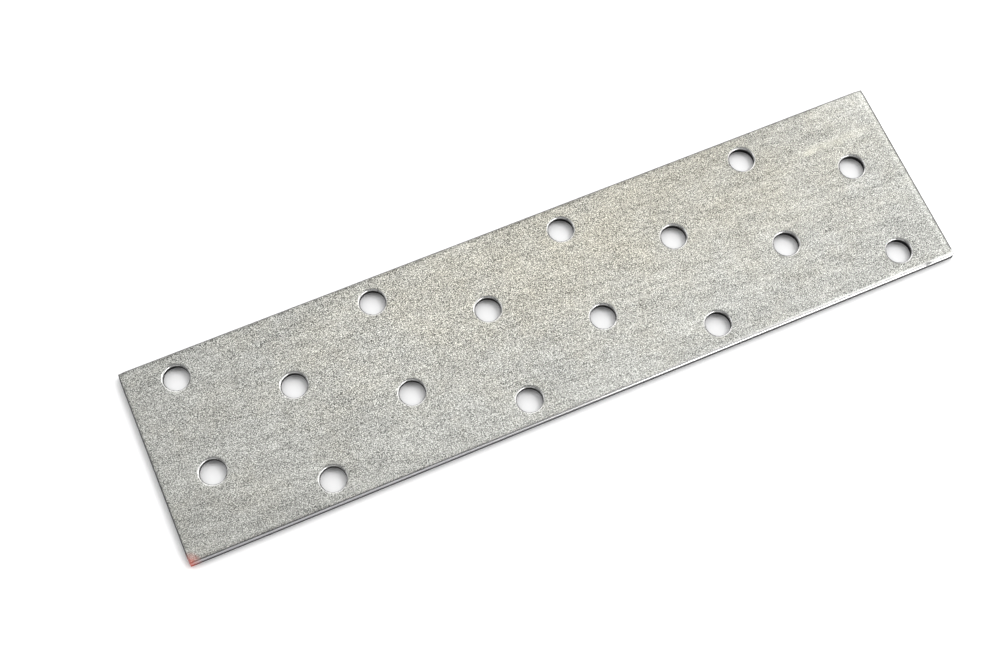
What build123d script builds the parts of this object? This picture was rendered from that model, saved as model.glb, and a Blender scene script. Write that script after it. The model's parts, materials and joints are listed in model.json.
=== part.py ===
from build123d import *
import math
import os

# Mending plate: one flat plate of galvanised steel with a staggered field of punched nail holes.
# Millimetres. X runs along the plate, Y across it, Z up. The origin is the centre of the underside.

# Plate
plate_length = 160.0
plate_width = 40.0
sheet_thickness = 2.0
corner_radius = 0.4

# Nail holes, on every other crossing of a grid
hole_radius = 2.5
column_pitch = 20.0
row_pitch = 10.0
end_margin = 10.0
side_margin = 5.0

# A cut through sheet has a rolled rim where the tool enters, a straight bright land,
# and a torn zone that opens towards the side where the tool breaks out.
# Their sizes follow the sheet's thickness. The rim is part of an ellipse with these half axes,
# and a crease is left where the land cuts it off.
roll_reach = 0.24 * sheet_thickness
roll_drop = 0.22 * sheet_thickness
roll_crease_angle = 20.0
torn_height = 0.40 * sheet_thickness
hole_torn_flare = 0.12 * sheet_thickness
edge_torn_setback = 0.06 * sheet_thickness

# The rim's size once the land has cut it off
roll_width = roll_reach * math.cos(math.radians(roll_crease_angle))
land_top = sheet_thickness - roll_drop * (1 - math.sin(math.radians(roll_crease_angle)))

# How far the cutting shapes stand past the sheet
overshoot = 0.5 * sheet_thickness

# Lets a whole number of pitches count as whole after rounding
count_tolerance = 1e-6


def copies_within(span, margin, pitch):
    """How many grid lines at this pitch fit across a span, a margin in from each side."""
    return 1 + math.floor((span - 2 * margin) / pitch + count_tolerance)


def rolled_rim(flush_at, side):
    """The rolled rim's arc, from where it is flush with the face, down to the land on one side of there."""
    centre = (flush_at, sheet_thickness - roll_drop)
    turn = side * (roll_crease_angle - 90)
    return EllipticalCenterArc(centre, roll_reach, roll_drop, start_angle=90, arc_size=turn)


def sheared_section(span):
    """Section of the sheet between two sheared edges: X across the span, Y through the thickness."""
    half = span / 2
    flush_at = half - roll_width
    wall = Polyline((0, 0), (half - edge_torn_setback, 0), (half, torn_height), (half, land_top))
    face_line = Line((flush_at, sheet_thickness), (0, sheet_thickness))
    right_half = wall + rolled_rim(flush_at, 1) + face_line
    return make_face(right_half + mirror(right_half, Plane.YZ))


def sheared_blank():
    """The strip is slit to the width, then cropped to the length. Both cuts leave sheared edges."""
    strip_end = Plane.YZ.offset(-plate_length / 2 - overshoot)
    strip = extrude(strip_end * sheared_section(plate_width), plate_length + 2 * overshoot)
    crop_side = Plane.XZ.offset(-plate_width / 2 - overshoot)
    crop = extrude(crop_side * sheared_section(plate_length), plate_width + 2 * overshoot)
    blunt_corners = extrude(RectangleRounded(plate_length, plate_width, corner_radius), sheet_thickness)
    return strip & crop & blunt_corners


def hole_punch():
    """Solid of one punched hole: the torn cone, the land and the rolled rim, turned about Z."""
    bottom = -overshoot
    top = sheet_thickness + overshoot
    flush_at = hole_radius + roll_width
    bottom_radius = hole_radius + hole_torn_flare * (torn_height + overshoot) / torn_height
    wall = Polyline((0, bottom), (bottom_radius, bottom), (hole_radius, torn_height), (hole_radius, land_top))
    mouth = Polyline((flush_at, sheet_thickness), (flush_at, top), (0, top), (0, bottom))
    return revolve(Plane.XZ * make_face(wall + rolled_rim(flush_at, -1) + mouth), Axis.Z)


def nail_hole_centres():
    """Every other crossing of the grid, so each column is staggered against the next."""
    columns = copies_within(plate_length, end_margin, column_pitch)
    rows = copies_within(plate_width, side_margin, row_pitch)
    centres = []
    for column in range(columns):
        for row in range(rows):
            if (column + row) % 2 == 1:
                x = (column - (columns - 1) / 2) * column_pitch
                y = (row - (rows - 1) / 2) * row_pitch
                centres.append((x, y))
    return centres


def mending_plate():
    punches = Locations(*nail_hole_centres()) * hole_punch()
    return sheared_blank() - punches


nodes = {"mending_plate": mending_plate()}

os.makedirs("parts", exist_ok=True)
for name, shape in nodes.items():
    export_step(shape, f"parts/{name}.step")
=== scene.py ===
import json
import math

import bmesh
import bpy
from mathutils import Euler, Matrix, Vector, noise


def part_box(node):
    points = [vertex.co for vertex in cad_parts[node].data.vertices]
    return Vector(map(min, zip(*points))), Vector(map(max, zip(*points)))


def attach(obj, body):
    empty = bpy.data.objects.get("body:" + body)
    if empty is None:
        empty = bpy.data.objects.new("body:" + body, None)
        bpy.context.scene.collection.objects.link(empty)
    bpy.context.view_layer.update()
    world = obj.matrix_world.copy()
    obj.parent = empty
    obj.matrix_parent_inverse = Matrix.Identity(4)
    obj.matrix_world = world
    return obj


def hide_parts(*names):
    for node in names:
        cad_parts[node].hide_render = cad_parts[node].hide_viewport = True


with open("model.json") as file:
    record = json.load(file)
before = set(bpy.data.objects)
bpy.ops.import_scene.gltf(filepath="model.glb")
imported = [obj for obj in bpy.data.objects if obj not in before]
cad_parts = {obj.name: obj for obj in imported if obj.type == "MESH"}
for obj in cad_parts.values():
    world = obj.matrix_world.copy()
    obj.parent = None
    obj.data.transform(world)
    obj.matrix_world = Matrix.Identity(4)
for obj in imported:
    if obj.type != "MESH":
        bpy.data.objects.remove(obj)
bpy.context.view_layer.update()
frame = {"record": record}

# Metres, except in the finish, where places and sizes on the plate are in millimetres.
# The plate lies flat, X along it, Y across it, Z up, on a floor at Z = 0.

# The plate's sizes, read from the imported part
plate_low, plate_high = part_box("mending_plate")
half_length = plate_high.x
half_width = plate_high.y
thickness = plate_high.z
hole_mounts = [m for m in frame["record"]["mounts"] if m["kind"] == "bore"]
hole_centres = [Vector((m["pos_m"][0], m["pos_m"][1], 0)) for m in hole_mounts]
hole_radius = hole_mounts[0]["dims"]["r_mm"] / 1000

# Section of the cut edges, in parts of the sheet's thickness as on the solid
roll_reach = 0.24 * thickness
roll_drop = 0.22 * thickness
roll_crease_angle = math.radians(20)
roll_width = roll_reach * math.cos(roll_crease_angle)
land_top = thickness - roll_drop * (1 - math.sin(roll_crease_angle))
torn_height = 0.40 * thickness
hole_torn_flare = 0.12 * thickness
edge_torn_setback = 0.06 * thickness
corner_radius = 0.0004

# How finely the plate's mesh is divided. The even grid stops a margin short of the outline, and leaves a
# square window round each hole.
cell = 0.0005
grid_margin = 2 * cell
outline_reach = 2.2 * cell
outline_band = 1.2 * cell
window = 7 * cell
rings_in_window = 3
rings_by_outline = 3
roll_steps = 6
land_steps = 3
torn_steps = 3
merge_distance = 1e-6

# Just under the crease between the rolled rim and the land, so that the crease stays sharp
sharp_angle = math.radians(19)

# Kept on the mesh for the finish. Depth into the cut is 0 on the face, 1 where the rolled rim ends,
# 2 where the land ends and 3 at the underside. The other is 1 on the cut of a hole, 0 elsewhere.
CUT_DEPTH = "cut_depth"
HOLE_CUT = "hole_cut"

# How the face departs from flat: slow waves of the rolled sheet, and the shallow draw beside each cut
wave_length = 0.011
wave_stretch = 2.5
wave_height = 0.000012
edge_draw_reach = 0.0013
edge_draw_depth = 0.00007
hole_draw_reach = 0.0009
hole_draw_depth = 0.00005

# Small dents in the rims: place, reach and depth
rim_dents = [
    ((0.0738, -0.0199), 0.0006, 0.00025),
    ((0.0796, -0.0118), 0.0005, 0.00008),
    ((0.0797, 0.0042), 0.0004, 0.00007),
    ((0.0672, -0.0013), 0.0006, 0.00010),
    ((0.0474, 0.0062), 0.0005, 0.00008),
    ((0.0120, -0.0068), 0.0006, 0.00008),
    ((-0.0343, -0.0199), 0.0005, 0.00006),
    ((-0.0797, 0.0087), 0.0005, 0.00006),
]

# Colours of the finish
zinc_grey = (0.264, 0.2653, 0.2493, 1)
zinc_warm = (0.2696, 0.2603, 0.2238, 1)
pale_smear = (0.52, 0.51, 0.43, 1)
red_paint = (0.62, 0.10, 0.06, 1)
# Painted highlight on the rolled hole rims
painted_hole_rim_highlight = (0.52, 0.52, 0.51, 1)
# Painted highlight on the near edge's face and rolled rim towards the right
painted_face_highlight = (0.46, 0.46, 0.45, 1)
painted_rim_highlight = (0.70, 0.70, 0.69, 1)
# Painted shade in the crease of the outer rims
painted_crease_shade = (0.14, 0.14, 0.14, 1)
# Painted reflection of the floor on the near edge's lower rolled rim
painted_near_rim_reflection = (0.46, 0.46, 0.475, 1)
sheared_edge = (0.38, 0.38, 0.395, 1)
# Painted shade on the sheared land of the hole walls
sheared_hole_painted_shade = (0.12, 0.119, 0.12, 1)
# Torn steel, near black as painted shade, laid also over the lower land and higher up in the holes
torn_steel_painted_shade = (0.02, 0.019, 0.02, 1)
grazing_tint = (0.55, 0.55, 0.55, 1)

# Where the face is made lighter or darker than elsewhere: centre and reach in millimetres, and change
tone_areas = [
    ((-35, -8), (50, 30), 0.06),
    ((70, -20), (45, 20), -0.12),
    ((75, 20), (15, 8), 0.24),
    ((76, 14), (13, 10), 0.08),
    ((66.5, 14.2), (7, 1.9), -0.2),
    ((-55, 17), (22, 9), -0.07),
]
least_tone = 0.15

# Height of the face's fine relief, in metres
relief_height = 0.00002

# The studio
panel_distance = 1.2
room_brightness = 0.34
floor_half_size = 3.0


def cut_section(torn_offset):
    """Stations down a cut edge: distance into the sheet from the wall, height, and depth into the cut."""
    stations = []
    for step in range(roll_steps + 1):
        share = step / roll_steps
        angle = math.pi / 2 + (roll_crease_angle - math.pi / 2) * share
        height = thickness - roll_drop * (1 - math.sin(angle))
        stations.append((roll_width - roll_reach * math.cos(angle), height, share))
    for step in range(1, land_steps + 1):
        share = step / land_steps
        stations.append((0, land_top + (torn_height - land_top) * share, 1 + share))
    for step in range(1, torn_steps + 1):
        share = step / torn_steps
        stations.append((torn_offset * share, torn_height * (1 - share), 2 + share))
    return stations


def near_outline(point):
    """Whether a point is in the narrow band along the plate's outline."""
    return max(abs(point.x) - half_length, abs(point.y) - half_width) > -outline_band


def hole_near(point):
    """The centre of the hole whose window this point is in, or None."""
    for centre in hole_centres:
        if max(abs(point.x - centre.x), abs(point.y - centre.y)) < window + cell / 2:
            return centre
    return None


def set_outline(verts, into):
    """Moves the points of the outline to stand this far inside the plate's largest size."""
    for v in verts:
        if abs(v.co.x) > half_length - outline_reach:
            v.co.x = math.copysign(half_length - into, v.co.x)
        if abs(v.co.y) > half_width - outline_reach:
            v.co.y = math.copysign(half_width - into, v.co.y)


def set_rings(verts, into):
    """Moves the points round each hole to stand this far outside the hole's radius."""
    for v in verts:
        centre = hole_near(v.co)
        out = (v.co - centre).xy.normalized() * (hole_radius + into)
        v.co.xy = centre.xy + out


def extrude_edges(bm, edges):
    """Extrudes open edges where they stand, and gives the new points and the new open edges."""
    made = bmesh.ops.extrude_edge_only(bm, edges=edges)["geom"]
    verts = [g for g in made if isinstance(g, bmesh.types.BMVert)]
    edges = [g for g in made if isinstance(g, bmesh.types.BMEdge)]
    return verts, edges


def even_grid(bm):
    """The face as an even grid that stops a margin short of the outline."""
    cells_x = round(2 * (half_length - grid_margin) / cell)
    cells_y = round(2 * (half_width - grid_margin) / cell)
    half_size = Matrix.Diagonal((cells_x * cell / 2, cells_y * cell / 2, 1, 1))
    place = Matrix.Translation((0, 0, thickness)) @ half_size
    bmesh.ops.create_grid(bm, x_segments=cells_x, y_segments=cells_y, size=1, matrix=place)


def top_face(bm):
    """The face: the even grid, with rings on out to the rolled rim and in to each hole."""
    even_grid(bm)
    edges = [e for e in bm.edges if e.is_boundary]
    for step in range(rings_by_outline):
        verts, edges = extrude_edges(bm, edges)
        share = (step + 1) / rings_by_outline
        set_outline(verts, grid_margin + (roll_width - grid_margin) * share)
    in_windows = [f for f in bm.faces if all(hole_near(v.co) for v in f.verts)]
    bmesh.ops.delete(bm, geom=in_windows, context="FACES")
    edges = [e for e in bm.edges if e.is_boundary and hole_near(e.verts[0].co)]
    for step in range(rings_in_window):
        verts, edges = extrude_edges(bm, edges)
        for v in verts:
            from_centre = (v.co - hole_near(v.co)).xy
            shorter_by = (from_centre.length - hole_radius - roll_width) / (rings_in_window - step)
            v.co.xy -= from_centre.normalized() * shorter_by


def open_loops(bm, at_top):
    """The open edges round the outline, and those round the holes."""
    edges = [e for e in bm.edges if e.is_boundary and (e.verts[0].co.z > thickness / 2) == at_top]
    outline = [e for e in edges if near_outline(e.verts[0].co)]
    rings = [e for e in edges if not near_outline(e.verts[0].co)]
    return outline, rings


def points_of(edges):
    return list({v for e in edges for v in e.verts})


def extrude_down(bm, edges, stations, place, layers, hole_cut):
    """Extrudes loops of open edges through the stations of a cut. They stand on the first one."""
    depth_layer, hole_layer = layers
    for v in points_of(edges):
        v[hole_layer] = hole_cut
    for into, height, depth in stations[1:]:
        verts, edges = extrude_edges(bm, edges)
        place(verts, into)
        for v in verts:
            v.co.z = height
            v[depth_layer] = depth
            v[hole_layer] = hole_cut


def underside(bm, depth_layer):
    """A copy of the top face, turned over and fitted to the foot of each cut."""
    made = bmesh.ops.duplicate(bm, geom=bm.verts[:] + bm.edges[:] + bm.faces[:])
    verts = [g for g in made["geom"] if isinstance(g, bmesh.types.BMVert)]
    bmesh.ops.reverse_faces(bm, faces=[g for g in made["geom"] if isinstance(g, bmesh.types.BMFace)])
    for v in verts:
        v.co.z = 0
        v[depth_layer] = 3
    outline, rings = open_loops(bm, at_top=False)
    set_outline(points_of(outline), edge_torn_setback)
    set_rings(points_of(rings), hole_torn_flare)


def blunt_corners(bm, depth_layer):
    """Draws the points beside each corner up to its small radius, and the corner itself onto it."""
    for v in bm.verts:
        if v[depth_layer] > 0:
            x, y = abs(v.co.x), abs(v.co.y)
            if y > half_width - outline_band and abs(x - half_length + grid_margin) < cell / 2:
                x = half_length - corner_radius
            if x > half_length - outline_band and abs(y - half_width + grid_margin) < cell / 2:
                y = half_width - corner_radius
            out = Vector((x - half_length + corner_radius, y - half_width + corner_radius))
            if min(out) > 0 and out.length > corner_radius:
                out *= corner_radius / out.length
                x = half_length - corner_radius + out.x
                y = half_width - corner_radius + out.y
            v.co.x = math.copysign(x, v.co.x)
            v.co.y = math.copysign(y, v.co.y)


def dip(x, y):
    """How far the face stands below flat at a place."""
    lift = noise.noise(Vector((x / wave_stretch, y, 0)) / wave_length)
    depth = wave_height * (1 + lift)
    for inside in (half_length - abs(x), half_width - abs(y)):
        depth += edge_draw_depth * max(0, 1 - inside / edge_draw_reach) ** 2
    centre = hole_near(Vector((x, y)))
    if centre:
        beyond = math.hypot(x - centre.x, y - centre.y) - hole_radius
        depth += hole_draw_depth * max(0, 1 - beyond / hole_draw_reach) ** 2
    for (dent_x, dent_y), reach, dent_depth in rim_dents:
        away = math.hypot(x - dent_x, y - dent_y) / reach
        if away < 1:
            depth += dent_depth * (1 - away * away) ** 2
    return depth


def settle(bm):
    """Lowers the face and the rolled rims by the dips, down to nothing at the land."""
    for v in bm.verts:
        share = (v.co.z - land_top) / (thickness - land_top)
        if share > 0:
            v.co.z -= dip(v.co.x, v.co.y) * share


def plate_mesh():
    """The whole plate as one closed mesh."""
    bm = bmesh.new()
    bm.verts.layers.float.new(CUT_DEPTH)
    bm.verts.layers.float.new(HOLE_CUT)
    depth_layer = bm.verts.layers.float[CUT_DEPTH]
    hole_layer = bm.verts.layers.float[HOLE_CUT]
    layers = (depth_layer, hole_layer)
    top_face(bm)
    underside(bm, depth_layer)
    outline, rings = open_loops(bm, at_top=True)
    extrude_down(bm, outline, cut_section(edge_torn_setback), set_outline, layers, 0)
    extrude_down(bm, rings, cut_section(hole_torn_flare), set_rings, layers, 1)
    blunt_corners(bm, depth_layer)
    bmesh.ops.remove_doubles(bm, verts=bm.verts, dist=merge_distance)
    bmesh.ops.recalc_face_normals(bm, faces=bm.faces)
    settle(bm)
    mesh = bpy.data.meshes.new("plate_sheet")
    bm.to_mesh(mesh)
    bm.free()
    mesh.shade_smooth()
    mesh.set_sharp_from_angle(angle=sharp_angle)
    return mesh


class Value:
    """A shader socket that can be written into Python expressions."""

    def __init__(self, finish, socket):
        self.finish = finish
        self.socket = socket

    def maths(self, operation, *inputs):
        return self.finish.add("ShaderNodeMath", {"operation": operation}, dict(enumerate(inputs)))

    def __add__(self, other):
        return self.maths("ADD", self, other)

    def __sub__(self, other):
        return self.maths("SUBTRACT", self, other)

    def __rsub__(self, other):
        return self.maths("SUBTRACT", other, self)

    def __mul__(self, other):
        return self.maths("MULTIPLY", self, other)

    def __pow__(self, other):
        return self.maths("POWER", self, other)

    __radd__ = __add__
    __rmul__ = __mul__

    def at_least(self, least):
        return self.maths("MAXIMUM", self, least)

    def clamped(self):
        """Held between 0 and 1."""
        return self.maths("MINIMUM", self.at_least(0), 1)

    def ramp(self, low, high):
        """0 below low, 1 above high, and smooth in between. low may be above high."""
        settings = {"interpolation_type": "SMOOTHSTEP"}
        inputs = {"Value": self, "From Min": low, "From Max": high}
        return self.finish.add("ShaderNodeMapRange", settings, inputs)


class Finish:
    """A material and the few ways that its nodes are added. Places and sizes are in millimetres."""

    def __init__(self, name):
        self.material = bpy.data.materials.new(name)
        self.material.use_nodes = True
        self.tree = self.material.node_tree
        self.shader = self.tree.nodes["Principled BSDF"]

    def add(self, kind, settings, inputs, output=0):
        """Adds a node with these settings and inputs, and gives one of its outputs."""
        node = self.tree.nodes.new(kind)
        for name, value in settings.items():
            setattr(node, name, value)
        for name, value in inputs.items():
            self.feed(node.inputs[name], value)
        return Value(self, node.outputs[output])

    def feed(self, socket, value):
        if isinstance(value, Value):
            self.tree.links.new(value.socket, socket)
        else:
            socket.default_value = value

    def surface(self, name, value):
        """Gives the surface shader one of its inputs."""
        self.feed(self.shader.inputs[name], value)

    def here(self, size=(1, 1), centre=(0, 0), turn=0):
        """Place on the piece from a centre, along axes turned about Z, in steps of this size."""
        inputs = {
            "Vector": self.add("ShaderNodeTexCoord", {}, {}, output="Object"),
            "Location": (centre[0] / 1000, centre[1] / 1000, 0),
            "Rotation": (0, 0, math.radians(turn)),
            "Scale": (size[0] / 1000, size[1] / 1000, size[1] / 1000),
        }
        return self.add("ShaderNodeMapping", {"vector_type": "TEXTURE"}, inputs)

    def along(self, axis):
        """Distance along an axis of the plate."""
        return self.add("ShaderNodeSeparateXYZ", {}, {"Vector": self.here()}, output=axis)

    def stored(self, name):
        """A value kept on the mesh."""
        return self.add("ShaderNodeAttribute", {"attribute_name": name}, {}, output="Fac")

    def facets(self, size):
        """Small flat patches, each with its own even chance of any value from 0 to 1."""
        inputs = {"Vector": self.here((size, size)), "Scale": 1}
        patches = self.add("ShaderNodeTexVoronoi", {"feature": "F1"}, inputs, output="Color")
        return self.add("ShaderNodeSeparateColor", {}, {"Color": patches})

    def cloud(self, size, centre, turn=0, detail=1.0):
        """Soft noise from about 0 to 1, with features of this size along and across."""
        inputs = {"Vector": self.here(size, centre, turn), "Scale": 1, "Detail": detail}
        return self.add("ShaderNodeTexNoise", {"noise_dimensions": "3D"}, inputs)

    def nearness(self, centre, reach, turn=0):
        """1 at a place, falling evenly to 0 at this reach along and across."""
        flat = {0: self.here(reach, centre, turn), 1: (1, 1, 0)}
        offset = self.add("ShaderNodeVectorMath", {"operation": "MULTIPLY"}, flat)
        distance = self.add("ShaderNodeVectorMath", {"operation": "LENGTH"}, {0: offset}, output="Value")
        return (1 - distance).at_least(0)

    def blend(self, share, first, second):
        """Mixes two colours."""
        settings = {"data_type": "RGBA", "blend_type": "MIX", "clamp_factor": True}
        return self.add("ShaderNodeMix", settings, {0: share, 6: first, 7: second}, output=2)

    def tone(self, colour, level):
        """A colour made lighter or darker by a value."""
        return self.add("ShaderNodeVectorMath", {"operation": "SCALE"}, {0: colour, "Scale": level})


def zinc_level(f, x, y, facet, mottle, streaks):
    """How light the zinc is: fine specks, streaks along the rolling, lighter and darker areas, painted shade
    towards the right and along the far edge's left half, and a painted highlight along the right end.
    """
    grain = f.cloud((0.21, 0.2), centre=(17, 2), detail=0.0)
    bands = f.cloud((8.0, 1.7), centre=(11, 23), turn=-5)
    areas = f.cloud((16, 6), centre=(5, 3), detail=2.0)

    # Squared, so that bright specks stand out from a darker ground. The term with its own square takes back
    # what that adds to the mean.
    strength = 0.7 + f.nearness((-25, 8), (80, 45)) * 0.4
    specks = (1 + ((facet - 0.5) * 0.81 + (grain - 0.5) * 1.1) * strength).at_least(0) ** 2
    level = specks - strength ** 2 * 0.056

    level = level + (mottle - 0.5) * 0.1 + (streaks - 0.5) * 0.37
    level = level + (bands - 0.5) * 0.32 + (areas - 0.5) * 0.34
    for centre, reach, change in tone_areas:
        level = level + f.nearness(centre, reach) * change
    # Painted shade towards the right and along the left half of the far edge, and a painted highlight along
    # the right end
    right_shade = x.ramp(-15, 60) * 0.11
    right_end_highlight = x.ramp(78.3, 78.9) * 0.17
    far_edge_shade = y.ramp(19.0, 19.5) * (1 - x.ramp(10, 60)) * 0.28
    return (level - right_shade + right_end_highlight - far_edge_shade).at_least(least_tone)


def zinc_colour(f, level, mottle):
    """The face's colour: grey zinc with a warm tint over the middle and far side, and a pale smear."""
    warm_cloud = f.cloud((9, 9), centre=(40, 11), detail=3.0)
    warm_spots = f.cloud((1.9, 1.6), centre=(13, 37))
    warmth = f.nearness((16, 14), (90, 34)).ramp(0, 0.95) * 0.8 + 0.03
    warmth = warmth + (warm_cloud - 0.5) + (warm_spots - 0.5) * 0.5
    colour = f.tone(f.blend(warmth.clamped(), zinc_grey, zinc_warm), level)
    smear = f.nearness((69, 11.3), (12, 1.4)) * 0.32 + f.nearness((63.6, 11.1), (2.2, 0.8), turn=8) * 0.4
    return f.blend(smear * (0.4 + mottle * 0.9), colour, pale_smear)


def lay_cuts(f, x, y, colour):
    """Lays the zones of the cuts over the face's colour, among them painted highlights, a painted reflection
    and painted shade. Also gives how polished a place is, and where it is torn or painted as shade.
    """
    depth = f.stored(CUT_DEPTH)
    in_hole = f.stored(HOLE_CUT)
    past_rim = depth.ramp(0.97, 1.1)
    lower_rim = depth.ramp(0.32, 0.5)
    # The torn zone's dark starts up on the land as painted shade, higher in the holes
    torn_and_shade_from = 1.62 - in_hole * 0.32
    past_land = depth.ramp(torn_and_shade_from, torn_and_shade_from + 0.22)
    outside = (1 - past_rim) * (1 - in_hole)

    # Painted highlight on the near edge towards the right. Elsewhere the outer rims get painted shade in
    # their crease.
    near = y.ramp(-18.5, -19.0)
    near_highlight = (near * x.ramp(-45, 60) * 1.6).clamped()
    near_crease_shade = depth.ramp(0.0, 0.12) * (1 - lower_rim) * near * 0.55
    other_crease_shade = depth.ramp(0.1, 0.6) * (1 - near)

    # The rolled hole rims get a painted highlight
    hole_rim = depth.ramp(0.05, 0.5) * (1 - past_rim) * in_hole
    face_highlight = y.ramp(-19.05, -19.75) * x.ramp(5, 60) * outside
    rim_highlight = depth.ramp(0.0, 0.35) * outside * near_highlight
    crease_shade = (near_crease_shade + other_crease_shade) * outside * (1 - near_highlight)
    # Painted reflection of the floor on the near edge's lower rolled rim
    near_rim_reflection = lower_rim * outside * near * (1 - near_highlight)
    land = past_rim * (1 - past_land)
    torn_and_shade = past_land * (1 - depth.ramp(2.98, 3.0))
    zones = [
        (hole_rim, painted_hole_rim_highlight),
        (face_highlight, painted_face_highlight),
        (rim_highlight, painted_rim_highlight),
        (crease_shade, painted_crease_shade),
        (near_rim_reflection, painted_near_rim_reflection),
        (land * (1 - in_hole), sheared_edge),
        (land * in_hole, sheared_hole_painted_shade),
        (torn_and_shade, torn_steel_painted_shade),
    ]
    for share, zone_colour in zones:
        colour = f.blend(share, colour, zone_colour)
    polished = (land + hole_rim + rim_highlight + crease_shade).clamped()
    return colour, polished, torn_and_shade


def red_smear(f, facet, mottle):
    """How thickly red paint covers the near left corner, broken up by the grain."""
    cover = f.nearness((-80.2, -20.2), (2.9, 2.9)) ** 1.3
    return (cover * (1.25 - facet * 0.3 - mottle * 0.4)).clamped()


def galvanised_steel():
    """Zinc coated sheet: a matt face with fine specks, polished and torn cuts with painted highlights,
    reflection and shade, and two smears.
    """
    f = Finish("galvanised_steel")
    x = f.along("X")
    y = f.along("Y")
    facet = f.facets(0.13)
    mottle = f.cloud((0.6, 0.45), centre=(31, 7), turn=-5)
    streaks = f.cloud((3.6, 0.75), centre=(3, 9), turn=-4)

    level = zinc_level(f, x, y, facet, mottle, streaks)
    colour, polished, torn_and_shade = lay_cuts(f, x, y, zinc_colour(f, level, mottle))
    red = red_smear(f, facet, mottle)
    relief = {"Strength": 0.5, "Distance": relief_height, "Height": mottle * 0.6 + streaks * 0.4}
    f.surface("Base Color", f.blend(red, colour, red_paint))
    f.surface("Specular Tint", grazing_tint)
    f.surface("Metallic", 1 - red * 0.8)
    f.surface("Roughness", 0.42 + (mottle - 0.5) * 0.2 - polished * 0.14 + torn_and_shade * 0.28)
    f.surface("Normal", f.add("ShaderNodeBump", {}, relief))
    return f.material


def matt_floor():
    f = Finish("pale_floor")
    f.surface("Base Color", (0.97, 0.97, 0.97, 1))
    f.surface("Roughness", 0.9)
    f.surface("Specular IOR Level", 0.2)
    return f.material


def add_piece(name, mesh, material):
    piece = bpy.data.objects.new(name, mesh)
    bpy.context.scene.collection.objects.link(piece)
    mesh.materials.append(material)
    return piece


def add_floor():
    bm = bmesh.new()
    bmesh.ops.create_grid(bm, x_segments=1, y_segments=1, size=floor_half_size)
    mesh = bpy.data.meshes.new("floor")
    bm.to_mesh(mesh)
    bm.free()
    floor = add_piece("floor", mesh, matt_floor())


def direction(azimuth, elevation):
    """Unit vector towards a compass azimuth, 0 along +Y and 90 along +X, at an elevation, in degrees."""
    a, e = math.radians(azimuth), math.radians(elevation)
    return Vector((math.sin(a) * math.cos(e), math.cos(a) * math.cos(e), math.sin(e)))


def add_panel(name, azimuth, elevation, width, height, brightness):
    """A soft panel light facing the plate, given by where it stands and how bright its face looks."""
    light = bpy.data.lights.new(name, "AREA")
    light.shape = "RECTANGLE"
    light.size = width
    light.size_y = height
    light.energy = brightness * math.pi * width * height
    panel = bpy.data.objects.new(name, light)
    towards = direction(azimuth, elevation)
    panel.location = towards * panel_distance
    panel.rotation_euler = towards.to_track_quat("Z", "Y").to_euler()
    bpy.context.scene.collection.objects.link(panel)


def add_lights():
    """An even pale room, with soft panels that give the face its tone and the edges their bright lines."""
    world = bpy.data.worlds.new("studio")
    world.use_nodes = True
    background = world.node_tree.nodes["Background"]
    background.inputs["Color"].default_value = (1, 1, 1, 1)
    background.inputs["Strength"].default_value = room_brightness
    bpy.context.scene.world = world
    add_panel("overhead", azimuth=32, elevation=60, width=1.2, height=1.2, brightness=2.0)
    add_panel("key", azimuth=84, elevation=57, width=0.5, height=0.45, brightness=4.8)
    add_panel("right_low", azimuth=102, elevation=29, width=1.0, height=0.6, brightness=2.0)
    add_panel("near_right", azimuth=150, elevation=19, width=0.8, height=0.5, brightness=6.0)
    add_panel("near_low", azimuth=205, elevation=16, width=1.0, height=0.3, brightness=1.4)
    add_panel("left_fill", azimuth=300, elevation=48, width=0.6, height=0.6, brightness=1.8)
    add_panel("far_fill", azimuth=8, elevation=22, width=1.4, height=0.5, brightness=2.5)


def add_camera():
    """The photograph's view: almost straight down, from the near left, with a long lens."""
    aim = Vector((-0.00996, -0.00073, 0.002))
    distance = 0.32947
    back = direction(azimuth=208.83, elevation=69.03)
    roll = math.radians(5.65)
    data = bpy.data.cameras.new("camera")
    data.lens = 61.64
    data.sensor_width = 36
    data.clip_start = 0.01
    camera = bpy.data.objects.new("camera", data)
    camera.rotation_mode = "QUATERNION"
    camera.rotation_quaternion = (-back).to_track_quat("-Z", "Y") @ Euler((0, 0, roll)).to_quaternion()
    camera.location = aim + back * distance
    bpy.context.scene.collection.objects.link(camera)
    bpy.context.scene.camera = camera


plate = add_piece("plate_sheet", plate_mesh(), galvanised_steel())
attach(plate, "root")
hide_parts("mending_plate")
add_floor()
add_lights()
add_camera()
bpy.context.scene.view_settings.view_transform = "Standard"
